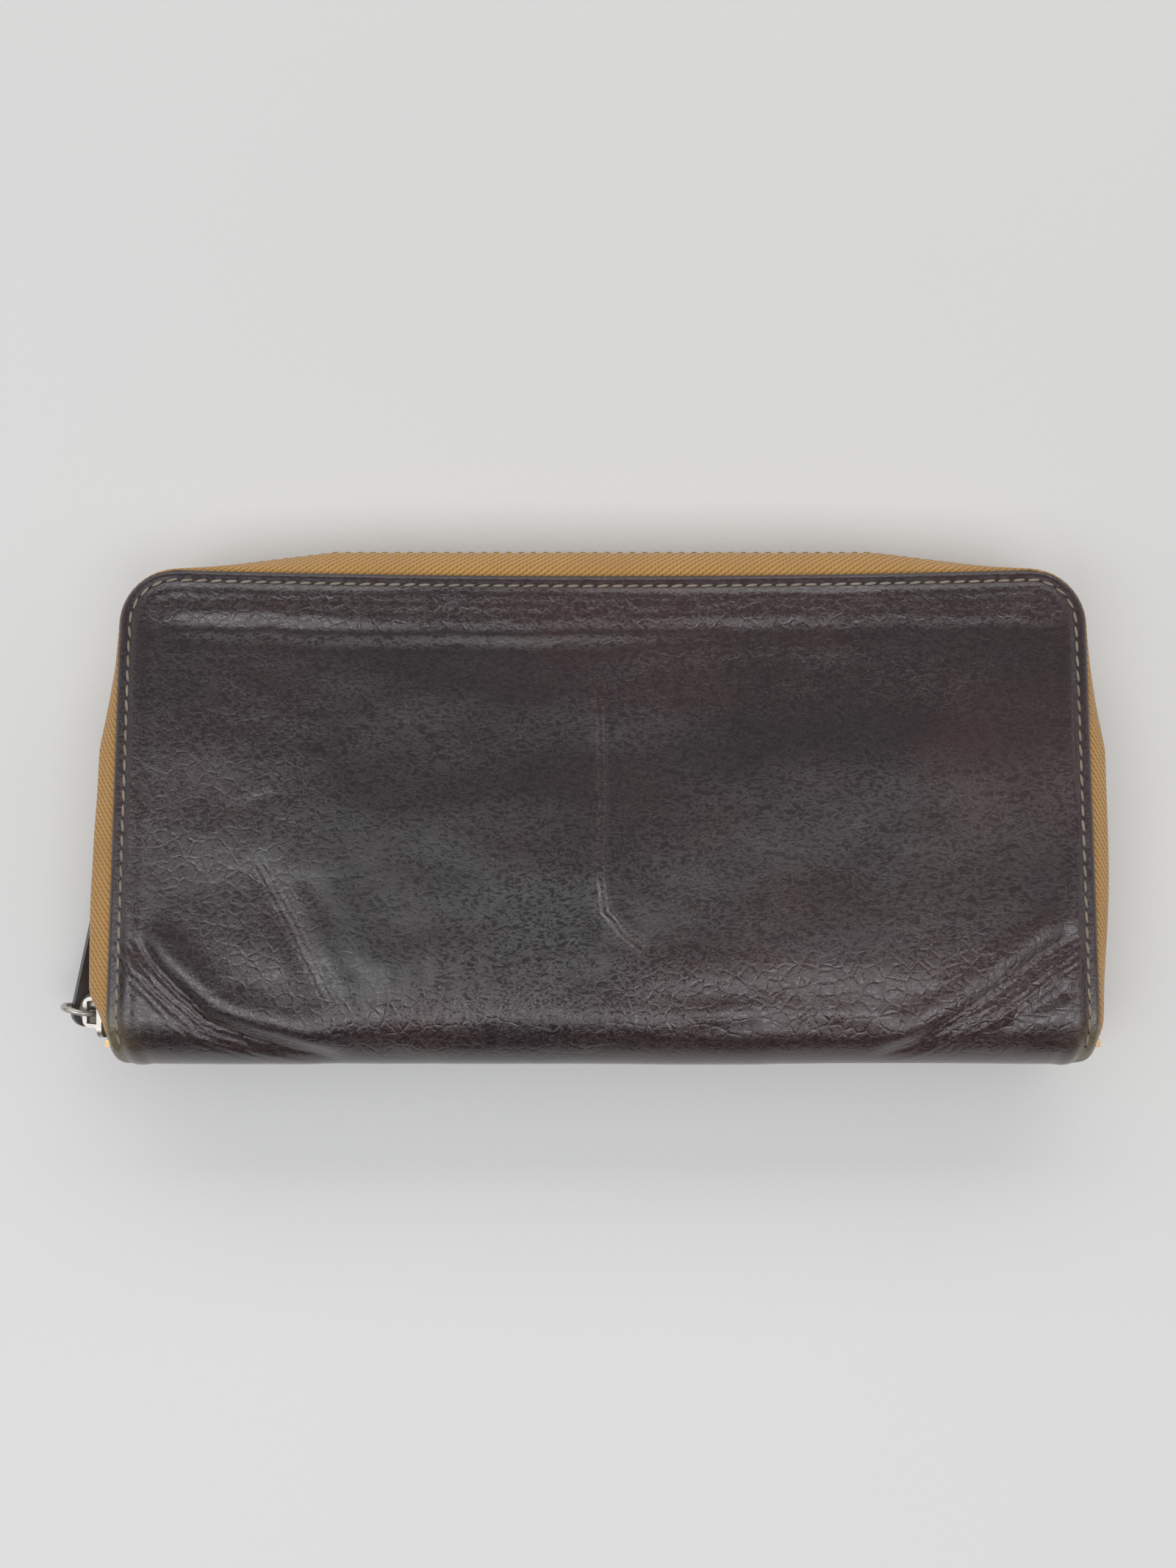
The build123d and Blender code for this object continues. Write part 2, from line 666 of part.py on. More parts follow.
with BuildPart() as coin_pull:
    pull_plane = Plane((coin_slider_x, coin_zip_y + coin_plate_outer + coin_pull_gap, mid),
                       x_dir=(1, 0, 0), z_dir=(0, 1, 0))
    with BuildSketch(pull_plane):
        with Locations((coin_pull_length / 2 - coin_pull_end, 0)):
            RectangleRounded(coin_pull_length, coin_pull_width, coin_pull_corner)
        with Locations((coin_pull_slot_x, 0)):
            Rectangle(coin_pull_slot, coin_pull_slot_width, mode=Mode.SUBTRACT)
    extrude(amount=coin_pull_thickness)
finish(coin_pull, "coin_pull")
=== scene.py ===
"""A long zip-around wallet in glossy dark leather, lying closed on a pale table."""
import math
import bmesh
import bpy
from mathutils import Matrix, Vector, noise


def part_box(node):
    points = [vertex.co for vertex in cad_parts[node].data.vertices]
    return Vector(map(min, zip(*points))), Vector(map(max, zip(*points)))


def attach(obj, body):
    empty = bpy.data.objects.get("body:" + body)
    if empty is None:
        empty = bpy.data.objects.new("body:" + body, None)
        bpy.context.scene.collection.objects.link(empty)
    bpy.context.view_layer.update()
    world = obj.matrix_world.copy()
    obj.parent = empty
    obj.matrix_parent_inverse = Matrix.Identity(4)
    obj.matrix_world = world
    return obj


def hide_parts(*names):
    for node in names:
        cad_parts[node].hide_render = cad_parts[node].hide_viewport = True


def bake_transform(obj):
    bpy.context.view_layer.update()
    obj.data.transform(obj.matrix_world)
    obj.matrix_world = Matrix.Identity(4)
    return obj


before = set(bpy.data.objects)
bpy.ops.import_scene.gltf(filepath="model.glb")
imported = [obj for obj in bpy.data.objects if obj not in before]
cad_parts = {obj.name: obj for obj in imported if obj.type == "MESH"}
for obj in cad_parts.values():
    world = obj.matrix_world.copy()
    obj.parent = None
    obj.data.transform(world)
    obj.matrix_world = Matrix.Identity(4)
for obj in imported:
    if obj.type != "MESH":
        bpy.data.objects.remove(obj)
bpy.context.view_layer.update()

# ---------------------------------------------------------------- sizes, from the frame
MM = 0.001
cover_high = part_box("front_cover")[1]
HALF_WIDTH = cover_high[0]
ZIP_SIDE = cover_high[1]
THICK = cover_high[2]
MID = THICK / 2
BEND_Y = -ZIP_SIDE + MID
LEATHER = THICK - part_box("front_board")[1][2]
LINING_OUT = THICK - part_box("front_lining")[1][2]
LINING_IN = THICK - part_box("front_card_slot_1")[1][2]
TAPE_EDGE = 1.1 * MM
TAPE_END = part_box("front_zip_tape")[0][1]
SEAM = LEATHER + 0.3 * MM  # height of the tape's hidden edge
LIP = 0.8 * MM  # flat tape outside the cover's edge
KNEE = 5.5 * MM  # height at which the tape stands upright
BULGE_SPINE = 2.2 * MM  # tape outside the cover's edge: at the spine, sides, corners, zip side
BULGE_SIDE = 4.2 * MM
BULGE_SIDE_Y = 14 * MM
BULGE_CORNER = 1.0 * MM
BULGE_ZIP = 4.9 * MM
BULGE_ZIP_X = 56 * MM
CORNER = 11 * MM
SPINE_CORNER = 4 * MM
STITCH_INSET = 2.1 * MM
STITCH_PITCH = 3.0 * MM
CORNER_X = HALF_WIDTH - CORNER
CORNER_Y = ZIP_SIDE - CORNER
FLAT_RUN = ZIP_SIDE - BEND_Y
ROUND_RUN = math.pi * MID
WRAP_RUN = 2 * FLAT_RUN + ROUND_RUN


# ---------------------------------------------------------------- small helpers
def new_piece(name, bm, smooth=True):
    """Object at the origin made from a bmesh."""
    mesh = bpy.data.meshes.new(name)
    for face in bm.faces:
        face.smooth = smooth
    bm.to_mesh(mesh)
    bm.free()
    piece = bpy.data.objects.new(name, mesh)
    bpy.context.scene.collection.objects.link(piece)
    return piece


def soft_step(low, high, value):
    """0 below low, 1 above high, smooth between."""
    share = min(max((value - low) / (high - low), 0.0), 1.0)
    return share * share * (3 - 2 * share)


def bell(distance, width):
    """1 at no distance, falling off smoothly."""
    return math.exp(-(distance / width) ** 2)


def half_width_at(y, inset=0.0):
    """Half width of the cover at a distance y, round its corners."""
    if y > CORNER_Y:
        reach = CORNER - inset
        return CORNER_X + math.sqrt(max(reach ** 2 - (y - CORNER_Y) ** 2, 0.0))
    spine_y = -ZIP_SIDE + SPINE_CORNER
    if y < spine_y:
        fall = min(spine_y - y, SPINE_CORNER)
        return HALF_WIDTH - SPINE_CORNER + math.sqrt(SPINE_CORNER ** 2 - fall ** 2) - inset
    return HALF_WIDTH - inset


def edge_distance(x, y):
    """How far inside the cover's outline a point is, leaving the spine out."""
    across = abs(x)
    if across > CORNER_X and y > CORNER_Y:
        return CORNER - math.hypot(across - CORNER_X, y - CORNER_Y)
    return min(HALF_WIDTH - across, ZIP_SIDE - y)


def wrap(run, depth):
    """Point and outward direction of the wrap, in Y and Z: back, spine, front."""
    if run < FLAT_RUN:
        return ZIP_SIDE - run, depth, (0.0, -1.0)
    if run < FLAT_RUN + ROUND_RUN:
        angle = (run - FLAT_RUN) / MID
        radius = MID - depth
        out = (-math.sin(angle), -math.cos(angle))
        return BEND_Y + radius * out[0], MID + radius * out[1], out
    return BEND_Y + run - FLAT_RUN - ROUND_RUN, THICK - depth, (0.0, 1.0)


def clustered(share, strength):
    """Share of a length, closer together at both ends and in the middle."""
    return share - strength * math.sin(4 * math.pi * share) / (4 * math.pi)


# ---------------------------------------------------------------- how the leather has worn
# Each fold: the points it runs through (mm), its half width, its depth, and the ridge beside it
# (to the left of its run, or to the right when below 0).
FOLDS = [
    ([(-93.5, -22), (-89, -29), (-84, -34), (-77.6, -39.8), (-68.7, -43.6), (-60, -46.3),
      (-50, -49)], 1.9, 1.0, 0.9),
    ([(96, -22), (86, -27.9), (78, -34.2), (70.4, -39.2), (61.4, -45.4), (53, -48)], 1.8, 0.6, -0.9),
    ([(-92, -31), (-86, -37), (-78, -42), (-68, -46)], 1.7, 0.5, 0.5),
    ([(-70, -8), (-61.5, -22.9), (-57.6, -30.4), (-54, -38)], 2.6, 0.30, 0.8),
    ([(-60, -10), (-53, -22), (-48, -34)], 2.0, 0.2, 0.6),
    ([(92, -33), (84, -38), (76, -43)], 1.6, 0.4, -0.6),
    ([(-74, 0.7), (-70, 2.2), (-65, 4.6)], 1.3, 0.12, 0.6),
    ([(61, -6.3), (60.6, -11), (58.3, -15.3)], 1.3, 0.10, 0.5),
    ([(8, -36), (30, -35), (55, -36.5), (72, -34)], 2.6, 0.22, 0.6),
    ([(14, -42), (36, -40.6), (60, -42)], 1.8, 0.24, 0.6),
    ([(-40, 29), (-10, 27), (26, 31), (70, 27)], 4.0, 0.16, 0.8),
]
# The crease down the middle of the front cover, with a low ridge on one side of it.
MIDDLE_CREASE = [(-1.1, 31), (-0.7, 16), (-0.4, 3), (-0.7, -12.7), (0.2, -19), (3.4, -23),
                 (9.1, -27.5)]
# Folds with fine parallel creases: the side of the run they lie on, their spread (mm), strength.
CREASED = [(FOLDS[0][0], -1, 7.5, 1.0), (FOLDS[1][0], 1, 7.0, 0.8), (MIDDLE_CREASE, 1, 1.6, 0.9),
           (FOLDS[3][0], 1, 3.5, 0.45)]
# Patches of broken face: strength, then low end, high end and soft edge, across and up (mm).
BROKEN_PATCHES = [
    (1.0, (6, 84, 9), (-45, -29, 4)),
    (0.75, (-60, 8, 10), (-50, -36, 4)),
    (0.75, (-92, 92, 5), (39, 46.5, 1.2)),
    (0.55, (2, 76, 8), (23, 37, 5)),
    (0.8, (60, 97, 8), (-48, -24, 6)),
    (0.35, (-95, -58, 8), (-48, 34, 6)),
]
LEAST_BROKEN = 0.16  # of the face outside the patches
RIDGE_AWAY = 2.3  # a fold's ridge from its line, in the fold's half widths
RIDGE_WIDTH = 1.7
FOLD_END = 0.14  # share of a fold's run over which it fades at each end
GROOVE_UP = 38.2  # pressed line along the zip edge (mm)
GROOVE_DEPTH = 0.46
GROOVE_WIDTH = 2.2
TOP_DIP = 1.3 * MM


def fold_reach(x, y, points):
    """Signed distance from a fold's line (mm), and how far along it the nearest place is."""
    best = (1e9, 0.0, 0.0)
    total = len(points) - 1
    for number in range(total):
        ax, ay = points[number]
        bx, by = points[number + 1]
        dx, dy = bx - ax, by - ay
        share = ((x - ax) * dx + (y - ay) * dy) / (dx * dx + dy * dy)
        share = min(max(share, 0.0), 1.0)
        off_x = x - ax - share * dx
        off_y = y - ay - share * dy
        gap = math.hypot(off_x, off_y)
        if gap < best[0]:
            side = 1.0 if dx * off_y - dy * off_x > 0 else -1.0
            best = (gap, side, (number + share) / total)
    return best[0] * best[1], best[2]


def zone(value, low, high, edge):
    """1 inside a range, falling to 0 over an edge on both sides."""
    return soft_step(low - edge, low + edge, value) * (1 - soft_step(high - edge, high + edge, value))


def crackle_amount(x, y):
    """How far the leather's face is broken into fine creases, over the front cover."""
    across, up = x / MM, y / MM
    amount = 0.0
    for share, wide, tall in BROKEN_PATCHES:
        amount += share * zone(across, *wide) * zone(up, *tall)
    spot = Vector((across / 16, up / 12, 31.0))
    return min(max(LEAST_BROKEN + amount * (0.8 + 0.7 * noise.noise(spot)), 0.0), 1.0)


def creases_near(x, y):
    """Signed distance (mm) from the nearest creased fold, and how strongly it creases the face."""
    nearest, strength = 9.0, 0.0
    for points, side, reach, amount in CREASED:
        gap, along = fold_reach(x / MM, y / MM, points)
        gap *= side
        fade = soft_step(0, 0.1, along) * (1 - soft_step(0.9, 1, along))
        here = amount * fade * soft_step(-1.6, 0.2, gap) * (1 - soft_step(0.4 * reach, reach, gap))
        if here > strength:
            nearest, strength = gap, here
    return nearest, strength


def leather_relief(x, y):
    """Height of the front cover's surface over its plain shape (metres)."""
    across, up = x / MM, y / MM
    edge = edge_distance(x, y) / MM
    inside = soft_step(2.4, 5.0, edge)
    height = -0.42 * max(0.0, 1 - edge / 0.9) ** 2
    height -= 0.26 * bell(edge - STITCH_INSET / MM, 0.55)
    height += 0.26 * zone(edge, 3.2, 5.2, 0.7)
    height -= 0.10 * bell(edge - 6.6, 0.9)
    away = soft_step(3, 16, HALF_WIDTH / MM - abs(across))
    top_groove = GROOVE_UP + 0.5 * math.sin(across / 23)
    top_groove += 0.9 * noise.noise(Vector((across / 9, 0.0, 21.0)))
    fade = 1 - 0.6 * soft_step(-20, 50, across)
    height -= GROOVE_DEPTH * fade * bell(up - top_groove, GROOVE_WIDTH) * away
    height += 0.30 * bell(up - top_groove - 3.6, 2.4) * away
    height += 0.34 * fade * (1 - soft_step(33, 38.4, up))
    height += 0.30 * (1 - (across / 98) ** 2) * (1 - (up / 52) ** 2)
    for points, width, depth, ridge in FOLDS:
        gap, along = fold_reach(across, up, points)
        if abs(gap) > 6 * width:
            continue
        run_fade = soft_step(0, FOLD_END, along) * (1 - soft_step(1 - FOLD_END, 1, along))
        strength = depth * run_fade * inside
        side = 1 if ridge > 0 else -1
        height -= strength * bell(gap, width)
        height += strength * abs(ridge) * bell(gap - side * RIDGE_AWAY * width, RIDGE_WIDTH * width)
    broken = crackle_amount(x, y) * inside
    gap, along = fold_reach(across, up, MIDDLE_CREASE)
    ends = soft_step(0, 0.2, along) * (1 - soft_step(0.8, 1, along))
    if abs(gap) < 12:
        height += 0.22 * ends * bell(gap - 1.6, 1.7) - 0.12 * ends * bell(gap + 2.2, 2.4)
    height += 0.75 * noise.noise(Vector((across / 38, up / 21, 2.0))) * inside
    height += 0.20 * noise.noise(Vector((across / 13, up / 9, 7.0))) * inside
    height += 0.13 * broken * noise.noise(Vector((across / 4.2, up / 3.4, 11.0)))
    puckers = zone(across, -66, 4, 8) * zone(up, -45, -25, 5)
    height += 0.22 * puckers * noise.noise(Vector((across / 3.4, up / 26, 9.0)))
    return height * MM


def top_dip(x, y):
    """How far the front cover's zip edge is drawn in at its middle."""
    return TOP_DIP * max(0.0, 1 - (x / CORNER_X) ** 2) * soft_step(10 * MM, ZIP_SIDE, y)


# ---------------------------------------------------------------- materials
BLACK = (0, 0, 0)
WHITE = (1, 1, 1)
# Lighter colour painted along the hairlines: a painted highlight.
HAIRLINE_HIGHLIGHT_COLOUR = (0.10, 0.065, 0.062)
GRIME_COLOUR = (0.20, 0.165, 0.095)


def new_material(name):
    """Material, with its nodes, links and Principled shader."""
    material = bpy.data.materials.new(name)
    material.use_nodes = True
    nodes = material.node_tree.nodes
    links = material.node_tree.links
    shader = nodes["Principled BSDF"]
    return material, nodes, links, shader


def object_coordinates(nodes, links, scale=(1, 1, 1), turn=(0, 0, 0)):
    """Object coordinates through a Mapping node."""
    place = nodes.new("ShaderNodeTexCoord")
    mapping = nodes.new("ShaderNodeMapping")
    mapping.inputs["Scale"].default_value = scale
    mapping.inputs["Rotation"].default_value = turn
    links.new(place.outputs["Object"], mapping.inputs["Vector"])
    return mapping.outputs["Vector"]


def noise_at(nodes, links, vector, scale, detail=4.0, rough=0.55):
    """Noise texture's value."""
    texture = nodes.new("ShaderNodeTexNoise")
    texture.inputs["Scale"].default_value = scale
    texture.inputs["Detail"].default_value = detail
    texture.inputs["Roughness"].default_value = rough
    links.new(vector, texture.inputs["Vector"])
    return texture.outputs["Fac"]


def cells_at(nodes, links, vector, scale):
    """Distance to the edges of grown cells."""
    texture = nodes.new("ShaderNodeTexVoronoi")
    texture.feature = "DISTANCE_TO_EDGE"
    texture.inputs["Scale"].default_value = scale
    links.new(vector, texture.inputs["Vector"])
    return texture.outputs["Distance"]


def ramp(nodes, links, value, stops):
    """Colour ramp through (position, colour) stops."""
    node = nodes.new("ShaderNodeValToRGB")
    band = node.color_ramp
    while len(band.elements) < len(stops):
        band.elements.new(0.5)
    for element, (position, colour) in zip(band.elements, stops):
        element.position = position
        element.color = (*colour, 1)
    links.new(value, node.inputs["Fac"])
    return node.outputs["Color"]


def calc(nodes, links, kind, first, second=None, third=None, clamp=False):
    """Math node on sockets or numbers."""
    node = nodes.new("ShaderNodeMath")
    node.operation = kind
    node.use_clamp = clamp
    for socket, value in zip(node.inputs, (first, second, third)):
        if value is None:
            continue
        if isinstance(value, (int, float)):
            socket.default_value = value
        else:
            links.new(value, socket)
    return node.outputs["Value"]


def mix_colour(nodes, links, share, first, second):
    """Mix of two colours, each a socket or a colour."""
    node = nodes.new("ShaderNodeMix")
    node.data_type = "RGBA"
    for socket, value in ((node.inputs[0], share), (node.inputs[6], first), (node.inputs[7], second)):
        if isinstance(value, (int, float)):
            socket.default_value = value
        elif isinstance(value, tuple):
            socket.default_value = (*value, 1)
        else:
            links.new(value, socket)
    return node.outputs[2]


def bump(nodes, links, height, strength, distance, normal=None):
    """Bump node over another one."""
    node = nodes.new("ShaderNodeBump")
    node.inputs["Strength"].default_value = strength
    node.inputs["Distance"].default_value = distance
    links.new(height, node.inputs["Height"])
    if normal is not None:
        links.new(normal, node.inputs["Normal"])
    return node.outputs["Normal"]


def warped(nodes, links, vector, scale, amount):
    """Coordinates pushed about by a noise, so that cells and lines look grown."""
    texture = nodes.new("ShaderNodeTexNoise")
    texture.inputs["Scale"].default_value = scale
    texture.inputs["Detail"].default_value = 3
    links.new(vector, texture.inputs["Vector"])
    push = nodes.new("ShaderNodeVectorMath")
    push.operation = "MULTIPLY_ADD"
    links.new(texture.outputs["Color"], push.inputs[0])
    push.inputs[1].default_value = (amount, amount, amount)
    links.new(vector, push.inputs[2])
    return push.outputs["Vector"]


def attribute(nodes, name):
    """Value of a vertex attribute."""
    node = nodes.new("ShaderNodeAttribute")
    node.attribute_name = name
    return node.outputs["Fac"]


def grained_leather(name, dark, warm, rough=0.3, coat=0.4, grain=1.0):
    """Glossy dark leather: hairline creases with painted highlights along them, a broken face where it
    bends, warm worn patches.
    """
    material, nodes, links, shader = new_material(name)
    vector = object_coordinates(nodes, links)
    grown = warped(nodes, links, vector, 260, 0.0022)
    lying = object_coordinates(nodes, links, (1.0, 1.9, 1.0), (0, 0, 0.30))
    lying = warped(nodes, links, lying, 180, 0.004)
    patches = noise_at(nodes, links, vector, 24, 3, 0.5)
    fine = noise_at(nodes, links, vector, 900, 4, 0.65)
    hair = noise_at(nodes, links, lying, 520, 6, 0.72)
    hair_lines = ramp(nodes, links, hair, [(0.46, BLACK), (0.5, WHITE), (0.54, BLACK)])
    fine_cells = cells_at(nodes, links, grown, 950)
    fine_cracks = ramp(nodes, links, fine_cells, [(0.0, BLACK), (0.16, WHITE)])
    cells = cells_at(nodes, links, grown, 390)
    cracks = ramp(nodes, links, cells, [(0.0, BLACK), (0.14, WHITE)])

    place = nodes.new("ShaderNodeTexCoord")
    parts = nodes.new("ShaderNodeSeparateXYZ")
    links.new(place.outputs["Object"], parts.inputs["Vector"])
    right = calc(nodes, links, "MULTIPLY_ADD", parts.outputs["X"], 6.0, 0.35, clamp=True)
    worn = attribute(nodes, "wear")
    broken = attribute(nodes, "crackle")
    grimy = attribute(nodes, "grime")

    unsteady = noise_at(nodes, links, vector, 300, 3)
    phase = calc(nodes, links, "MULTIPLY", attribute(nodes, "crease"), 4.2)
    phase = calc(nodes, links, "MULTIPLY_ADD", unsteady, 5.0, phase)
    creased = attribute(nodes, "creased")
    lines = calc(nodes, links, "MULTIPLY", calc(nodes, links, "SINE", phase), creased)

    warm_share = calc(nodes, links, "MULTIPLY_ADD", patches, 2.4, -1.0, True)
    warm_share = calc(nodes, links, "MULTIPLY_ADD", right, 0.30, warm_share)
    warm_share = calc(nodes, links, "MULTIPLY_ADD", worn, 0.45, warm_share)
    warm_share = calc(nodes, links, "MULTIPLY_ADD", creased, 0.5, warm_share)
    warm_share = calc(nodes, links, "MULTIPLY_ADD", broken, 0.25, warm_share, True)
    base = mix_colour(nodes, links, warm_share, dark, warm)
    # Hairlines painted lighter, more where the face is broken: a painted highlight.
    hairline_highlight_share = calc(nodes, links, "MULTIPLY_ADD", broken, 0.5, 0.12)
    hairline_highlight_share = calc(nodes, links, "MULTIPLY", hair_lines, hairline_highlight_share)
    base = mix_colour(nodes, links, hairline_highlight_share, base, HAIRLINE_HIGHLIGHT_COLOUR)
    grime_share = calc(nodes, links, "MULTIPLY_ADD", fine, 1.3, 0.0)
    grime_share = calc(nodes, links, "MULTIPLY", grimy, grime_share, clamp=True)
    base = mix_colour(nodes, links, grime_share, base, GRIME_COLOUR)
    links.new(base, shader.inputs["Base Color"])

    roughness = calc(nodes, links, "MULTIPLY_ADD", patches, 0.16, rough - 0.10)
    roughness = calc(nodes, links, "MULTIPLY_ADD", fine, 0.10, roughness)
    links.new(roughness, shader.inputs["Roughness"])
    shader.inputs["Specular IOR Level"].default_value = 0.62
    shader.inputs["Coat Weight"].default_value = coat
    shader.inputs["Coat Roughness"].default_value = 0.20

    deep = calc(nodes, links, "MULTIPLY", cracks, broken)
    shallow = calc(nodes, links, "MULTIPLY_ADD", broken, 0.7, 0.3)
    shallow = calc(nodes, links, "MULTIPLY", fine_cracks, shallow)
    normal = bump(nodes, links, lines, 0.5 * grain, 0.00014)
    normal = bump(nodes, links, deep, 0.5 * grain, 0.00014, normal)
    normal = bump(nodes, links, hair_lines, 0.20 * grain, 0.00007, normal)
    normal = bump(nodes, links, shallow, 0.22 * grain, 0.00006, normal)
    normal = bump(nodes, links, fine, 0.22 * grain, 0.00006, normal)
    links.new(normal, shader.inputs["Normal"])
    links.new(normal, shader.inputs["Coat Normal"])
    return material


def edge_paint_or_hole_shade(name, colour):
    """Dark edge paint on cut leather, slightly uneven and worn through to the fibre; also used as
    painted shade for the needle holes.
    """
    material, nodes, links, shader = new_material(name)
    vector = object_coordinates(nodes, links)
    uneven = noise_at(nodes, links, vector, 700, 4)
    worn = ramp(nodes, links, uneven, [(0.62, (0, 0, 0)), (0.8, (1, 1, 1))])
    base = mix_colour(nodes, links, worn, colour, (0.16, 0.10, 0.06))
    links.new(base, shader.inputs["Base Color"])
    shader.inputs["Roughness"].default_value = 0.42
    links.new(bump(nodes, links, uneven, 0.5, 0.00012), shader.inputs["Normal"])
    return material


def plain_leather(name, dark, light, rough=0.55):
    """Matt vegetable-tanned leather for the inside."""
    material, nodes, links, shader = new_material(name)
    vector = object_coordinates(nodes, links)
    patches = noise_at(nodes, links, vector, 40, 4)
    pores = cells_at(nodes, links, vector, 900)
    fine = noise_at(nodes, links, vector, 900, 5, 0.7)
    share = calc(nodes, links, "MULTIPLY_ADD", fine, 0.5, calc(nodes, links, "MULTIPLY", patches, 0.5))
    base = mix_colour(nodes, links, share, dark, light)
    links.new(base, shader.inputs["Base Color"])
    links.new(calc(nodes, links, "MULTIPLY_ADD", patches, 0.2, rough - 0.1), shader.inputs["Roughness"])
    normal = bump(nodes, links, pores, 0.35, 0.0001)
    normal = bump(nodes, links, fine, 0.35, 0.0001, normal)
    links.new(normal, shader.inputs["Normal"])
    return material


def woven_tape(name):
    """Ochre twill tape on the piece's own UV map: U along the tape, V across it, in metres."""
    material, nodes, links, shader = new_material(name)
    uv = nodes.new("ShaderNodeUVMap")
    uv.uv_map = "weave"
    turned = nodes.new("ShaderNodeMapping")
    turned.inputs["Rotation"].default_value = (0, 0, 0.9)
    links.new(uv.outputs["UV"], turned.inputs["Vector"])
    twill = nodes.new("ShaderNodeTexWave")
    twill.inputs["Scale"].default_value = 330
    twill.inputs["Distortion"].default_value = 0.6
    twill.inputs["Detail"].default_value = 1.5
    twill.inputs["Detail Scale"].default_value = 3.0
    links.new(turned.outputs["Vector"], twill.inputs["Vector"])
    cross = nodes.new("ShaderNodeTexWave")
    cross.inputs["Scale"].default_value = 420
    links.new(uv.outputs["UV"], cross.inputs["Vector"])
    vector = object_coordinates(nodes, links)
    stain = noise_at(nodes, links, vector, 60, 4)
    fuzz = noise_at(nodes, links, vector, 2600, 3)
    weave = calc(nodes, links, "MULTIPLY_ADD", cross.outputs["Fac"], 0.35, twill.outputs["Fac"])
    yarns = [(0.1, (0.27, 0.135, 0.035)), (0.6, (0.47, 0.245, 0.062)), (1.0, (0.56, 0.31, 0.09))]
    base = ramp(nodes, links, weave, yarns)
    stain_share = calc(nodes, links, "MULTIPLY_ADD", stain, 0.9, -0.3, True)
    base = mix_colour(nodes, links, stain_share, base, (0.34, 0.175, 0.05))
    links.new(base, shader.inputs["Base Color"])
    shader.inputs["Roughness"].default_value = 0.85
    shader.inputs["Sheen Weight"].default_value = 0.25
    normal = bump(nodes, links, weave, 0.7, 0.00018)
    normal = bump(nodes, links, fuzz, 0.25, 0.0001, normal)
    links.new(normal, shader.inputs["Normal"])
    return material


def twisted_thread(name, dark, light):
    """Waxed thread with fine twist lines and grime."""
    material, nodes, links, shader = new_material(name)
    vector = object_coordinates(nodes, links, (1, 1, 1), (0, 0, 0.7))
    twist = nodes.new("ShaderNodeTexWave")
    twist.inputs["Scale"].default_value = 900
    links.new(vector, twist.inputs["Vector"])
    grime = noise_at(nodes, links, vector, 90, 3)
    share = calc(nodes, links, "MULTIPLY_ADD", grime, 1.4, -0.5)
    share = calc(nodes, links, "MULTIPLY_ADD", twist.outputs["Fac"], 0.5, share, True)
    links.new(mix_colour(nodes, links, share, dark, light), shader.inputs["Base Color"])
    shader.inputs["Roughness"].default_value = 0.6
    links.new(bump(nodes, links, twist.outputs["Fac"], 0.6, 0.00008), shader.inputs["Normal"])
    return material


def worn_metal(name, colour, tarnish, rough=0.3, marks=0.5):
    """Plated metal with fine scratches and tarnish."""
    material, nodes, links, shader = new_material(name)
    vector = object_coordinates(nodes, links)
    cloud = noise_at(nodes, links, vector, 220, 5, 0.6)
    scratch_vector = object_coordinates(nodes, links, (1, 9, 1), (0.3, 0.2, 0.5))
    scratch = noise_at(nodes, links, scratch_vector, 900, 3, 0.6)
    share = calc(nodes, links, "MULTIPLY_ADD", cloud, 1.5, -0.5, True)
    links.new(mix_colour(nodes, links, share, colour, tarnish), shader.inputs["Base Color"])
    shader.inputs["Metallic"].default_value = 1.0
    links.new(calc(nodes, links, "MULTIPLY_ADD", cloud, 0.25, rough - 0.1), shader.inputs["Roughness"])
    links.new(bump(nodes, links, scratch, 0.2 * marks, 0.00004), shader.inputs["Normal"])
    return material


cover_leather = grained_leather("cover_leather", (0.0062, 0.0045, 0.0062),
                                (0.027, 0.0072, 0.0078), 0.21, 0.40)
tab_leather = grained_leather("tab_leather", (0.030, 0.024, 0.024), (0.06, 0.035, 0.033), 0.40, 0.2)
edge_paint = edge_paint_or_hole_shade("edge_paint", (0.018, 0.013, 0.016))
lining_leather = plain_leather("lining_leather", (0.22, 0.11, 0.045), (0.38, 0.21, 0.095))
pocket_leather = plain_leather("pocket_leather", (0.27, 0.14, 0.06), (0.44, 0.26, 0.12), 0.48)
board_fibre = plain_leather("board_fibre", (0.16, 0.13, 0.1), (0.25, 0.2, 0.15), 0.9)
tape_weave = woven_tape("tape_weave")
coin_tape_cloth = plain_leather("coin_tape_cloth", (0.36, 0.19, 0.05), (0.52, 0.29, 0.09), 0.85)
tan_thread = twisted_thread("tan_thread", (0.17, 0.135, 0.10), (0.38, 0.32, 0.245))
# Near-black discs at the needle holes: painted shade where the holes' depth would be dark.
needle_hole_shade = edge_paint_or_hole_shade("needle_hole_shade", (0.01, 0.007, 0.008))
brass = worn_metal("brass", (0.62, 0.43, 0.20), (0.30, 0.19, 0.09), 0.34)
nickel = worn_metal("nickel", (0.60, 0.565, 0.52), (0.40, 0.37, 0.33), 0.36)


# ---------------------------------------------------------------- cover and lining
def run_at(share, inset):
    """Distance round the wrap: few rows on the back, more round the spine and on the front."""
    steps = [(0.0, inset), (0.16, FLAT_RUN), (0.40, FLAT_RUN + ROUND_RUN), (1.0, WRAP_RUN - inset)]
    for (low, start), (high, end) in zip(steps, steps[1:]):
        if share <= high:
            return start + (share - low) / (high - low) * (end - start)
    return WRAP_RUN - inset


